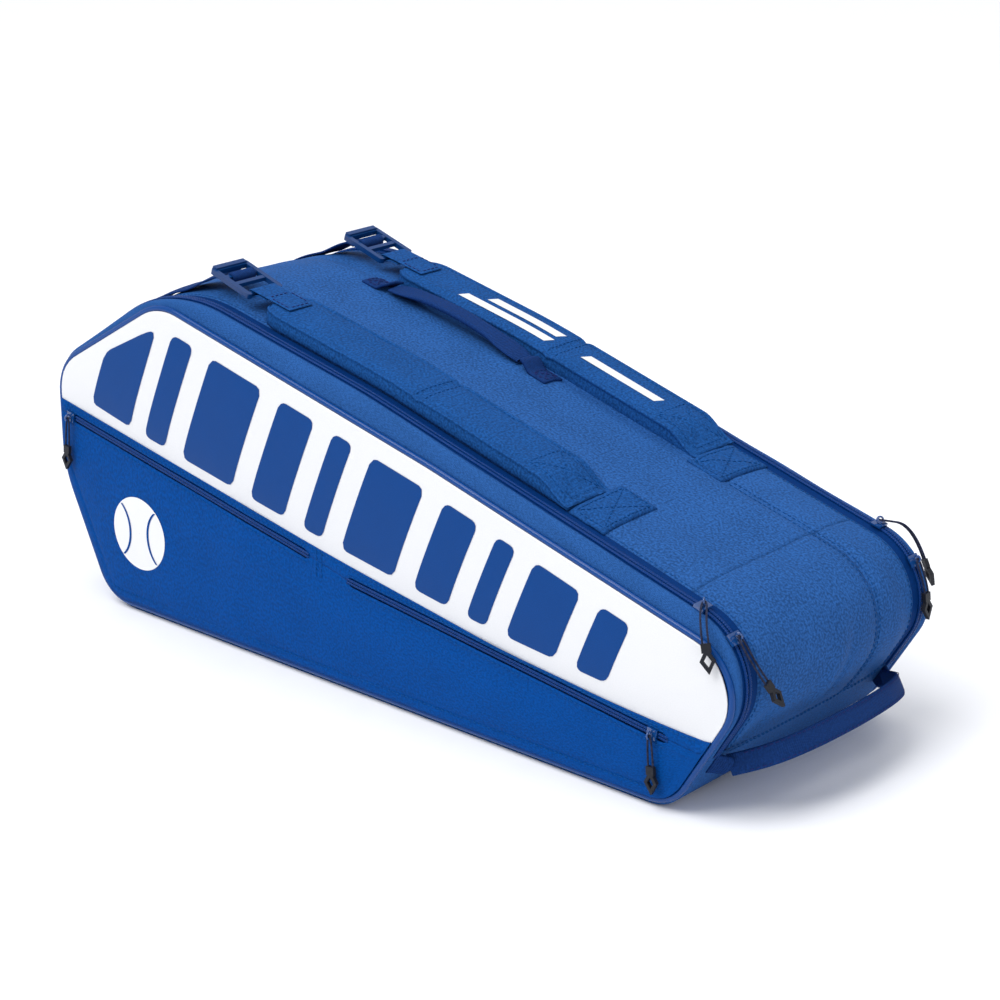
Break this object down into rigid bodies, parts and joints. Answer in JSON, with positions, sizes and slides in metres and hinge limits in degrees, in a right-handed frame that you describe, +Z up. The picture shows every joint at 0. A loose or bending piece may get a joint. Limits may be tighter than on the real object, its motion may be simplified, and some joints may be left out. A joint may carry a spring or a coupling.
{
  "type": "racket tournament bag",
  "caption": "Padded racket bag with a divided interior, zipped side panels that fold down, an outer pocket, padded shoulder straps with ladder-lock buckles and webbing grab handles.",
  "frame": {"origin": "middle of the flat base, at the ground", "axes": "+X from the head end to the handle end, +Y from the pocket side to the other side, +Z up"},
  "size_m": [0.7813, 0.2873, 0.3298],
  "materials": {
    "body_fabric": "woven polyester, matt with a slight sheen",
    "pocket_fabric": "smooth woven polyester",
    "strap_fabric": "padded woven polyester with bound edges",
    "lining": "foam-backed plain lining",
    "coated_fabric": "smooth coated fabric",
    "piping_vinyl": "glossy vinyl over cord",
    "coil_zip": "nylon coil on woven tape",
    "slider_metal": "glossy enamel",
    "pull_cord": "braided cord",
    "pull_tab": "moulded, fine matt grain",
    "buckle_plastic": "moulded plastic, satin",
    "navy_webbing": "ribbed nylon webbing"
  },
  "bodies": {
    "body": {"base_tray": "body_fabric", "head_end_panel": "body_fabric", "top_panel": "body_fabric", "handle_end_panel_near": "body_fabric", "handle_end_panel_far": "body_fabric", "divider_panel": "lining", "near_body_zip": "coil_zip", "far_body_zip": "coil_zip", "near_strap_patch": "body_fabric", "far_strap_patch": "body_fabric", "near_strap_webbing": "navy_webbing", "far_strap_webbing": "navy_webbing", "near_webbing_tab": "body_fabric", "far_webbing_tab": "body_fabric", "top_handle_anchor_head": "navy_webbing", "top_handle_anchor_end": "navy_webbing", "end_handle_anchor_near": "navy_webbing", "end_handle_anchor_far": "navy_webbing"},
    "near_lid": {"near_side_liner": "lining", "near_coated_panel": "coated_fabric", "near_pocket_front": "pocket_fabric", "near_lid_rim": "body_fabric", "near_lid_zip": "coil_zip", "near_piping": "piping_vinyl", "near_pocket_zip_head": "coil_zip", "near_pocket_zip_handle": "coil_zip"},
    "far_lid": {"far_side_liner": "lining", "far_coated_panel": "coated_fabric", "far_lower_panel": "pocket_fabric", "far_lid_rim": "body_fabric", "far_lid_zip": "coil_zip", "far_piping": "piping_vinyl"},
    "near_upper_slider": {"near_upper_slider": "slider_metal"},
    "near_upper_pull": {"near_upper_cord": "pull_cord", "near_upper_tab": "pull_tab"},
    "far_upper_slider": {"far_upper_slider": "slider_metal"},
    "far_upper_pull": {"far_upper_cord": "pull_cord", "far_upper_tab": "pull_tab"},
    "near_lower_slider": {"near_lower_slider": "slider_metal"},
    "near_lower_pull": {"near_lower_cord": "pull_cord", "near_lower_tab": "pull_tab"},
    "far_lower_slider": {"far_lower_slider": "slider_metal"},
    "far_lower_pull": {"far_lower_cord": "pull_cord", "far_lower_tab": "pull_tab"},
    "pocket_head_slider": {"pocket_head_slider": "slider_metal"},
    "pocket_head_pull": {"pocket_head_cord": "pull_cord", "pocket_head_tab": "pull_tab"},
    "pocket_handle_slider": {"pocket_handle_slider": "slider_metal"},
    "pocket_handle_pull": {"pocket_handle_cord": "pull_cord", "pocket_handle_tab": "pull_tab"},
    "near_strap": {"near_strap_pad": "strap_fabric", "near_strap_tab": "body_fabric"},
    "near_buckle": {"near_buckle": "buckle_plastic"},
    "far_strap": {"far_strap_pad": "strap_fabric", "far_strap_tab": "body_fabric"},
    "far_buckle": {"far_buckle": "buckle_plastic"},
    "top_handle": {"top_handle": "navy_webbing"},
    "end_handle": {"end_handle": "navy_webbing"}
  },
  "joints": [
    {"name": "near_lid_fold", "type": "hinge", "parent": "body", "child": "near_lid", "pos_m": [0, -0.1268, 0.004], "axis": [1, 0, 0], "range_deg": [0, 55]},
    {"name": "far_lid_fold", "type": "hinge", "parent": "body", "child": "far_lid", "pos_m": [0, 0.1268, 0.004], "axis": [-1, 0, 0], "range_deg": [0, 55]},
    {"name": "near_upper_slide", "type": "slide", "parent": "near_lid", "child": "near_upper_slider", "axis": [-0.9619, 0, 0.2733], "range_m": [0, 0.3]},
    {"name": "near_upper_pull_swing", "type": "hinge", "parent": "near_upper_slider", "child": "near_upper_pull", "pos_m": [0.33872, -0.116, 0.1723], "axis": [-0.8414, -0.5034, -0.1966], "range_deg": [0, 70]},
    {"name": "far_upper_slide", "type": "slide", "parent": "far_lid", "child": "far_upper_slider", "axis": [-0.9619, 0, 0.2733], "range_m": [0, 0.3]},
    {"name": "far_upper_pull_swing", "type": "hinge", "parent": "far_upper_slider", "child": "far_upper_pull", "pos_m": [0.33872, 0.116, 0.1723], "axis": [0.777, -0.5428, 0.3187], "range_deg": [0, 70]},
    {"name": "near_lower_slide", "type": "hinge", "parent": "near_lid", "child": "near_lower_slider", "pos_m": [0.32564, -0.116, 0.11229], "axis": [0, 1, 0], "range_deg": [0, 25]},
    {"name": "near_lower_pull_swing", "type": "hinge", "parent": "near_lower_slider", "child": "near_lower_pull", "pos_m": [0.37083, -0.116, 0.15371], "axis": [0.2078, -0.9483, -0.2397], "range_deg": [0, 70]},
    {"name": "far_lower_slide", "type": "hinge", "parent": "far_lid", "child": "far_lower_slider", "pos_m": [0.32564, 0.116, 0.11229], "axis": [0, 1, 0], "range_deg": [0, 25]},
    {"name": "far_lower_pull_swing", "type": "hinge", "parent": "far_lower_slider", "child": "far_lower_pull", "pos_m": [0.37523, 0.116, 0.14832], "axis": [0.0085, -0.9996, -0.0284], "range_deg": [0, 70]},
    {"name": "pocket_head_slide", "type": "slide", "parent": "near_lid", "child": "pocket_head_slider", "axis": [0.9817, 0, -0.1903], "range_m": [0, 0.29]},
    {"name": "pocket_head_pull_swing", "type": "hinge", "parent": "pocket_head_slider", "child": "pocket_head_pull", "pos_m": [-0.359, -0.1391, 0.17094], "axis": [-0.995, 0, 0.0995], "range_deg": [0, 70]},
    {"name": "pocket_handle_slide", "type": "slide", "parent": "near_lid", "child": "pocket_handle_slider", "axis": [-0.9928, 0, 0.12], "range_m": [0, 0.305]},
    {"name": "pocket_handle_pull_swing", "type": "hinge", "parent": "pocket_handle_slider", "child": "pocket_handle_pull", "pos_m": [0.308, -0.1391, 0.06299], "axis": [-0.9965, 0, -0.083], "range_deg": [0, 70]},
    {"name": "near_strap_lift", "type": "hinge", "parent": "body", "child": "near_strap", "pos_m": [0.199, -0.08025, 0.20745], "axis": [0, 1, 0], "range_deg": [0, 12]},
    {"name": "near_buckle_tilt", "type": "hinge", "parent": "near_strap", "child": "near_buckle", "pos_m": [-0.1605, -0.08025, 0.312], "axis": [0, 1, 0], "range_deg": [-10, 40]},
    {"name": "far_strap_lift", "type": "hinge", "parent": "body", "child": "far_strap", "pos_m": [0.199, 0.08025, 0.20745], "axis": [0, 1, 0], "range_deg": [0, 12]},
    {"name": "far_buckle_tilt", "type": "hinge", "parent": "far_strap", "child": "far_buckle", "pos_m": [-0.1605, 0.08025, 0.312], "axis": [0, 1, 0], "range_deg": [-10, 40]},
    {"name": "top_handle_swing", "type": "hinge", "parent": "body", "child": "top_handle", "pos_m": [-0.0435, 0.0375, 0.27931], "axis": [0.9735, 0, -0.2289], "range_deg": [-15, 15]},
    {"name": "end_handle_swing", "type": "hinge", "parent": "body", "child": "end_handle", "pos_m": [0.36, 0, 0.0427], "axis": [0, -1, 0], "range_deg": [-35, 20]}
  ]
}
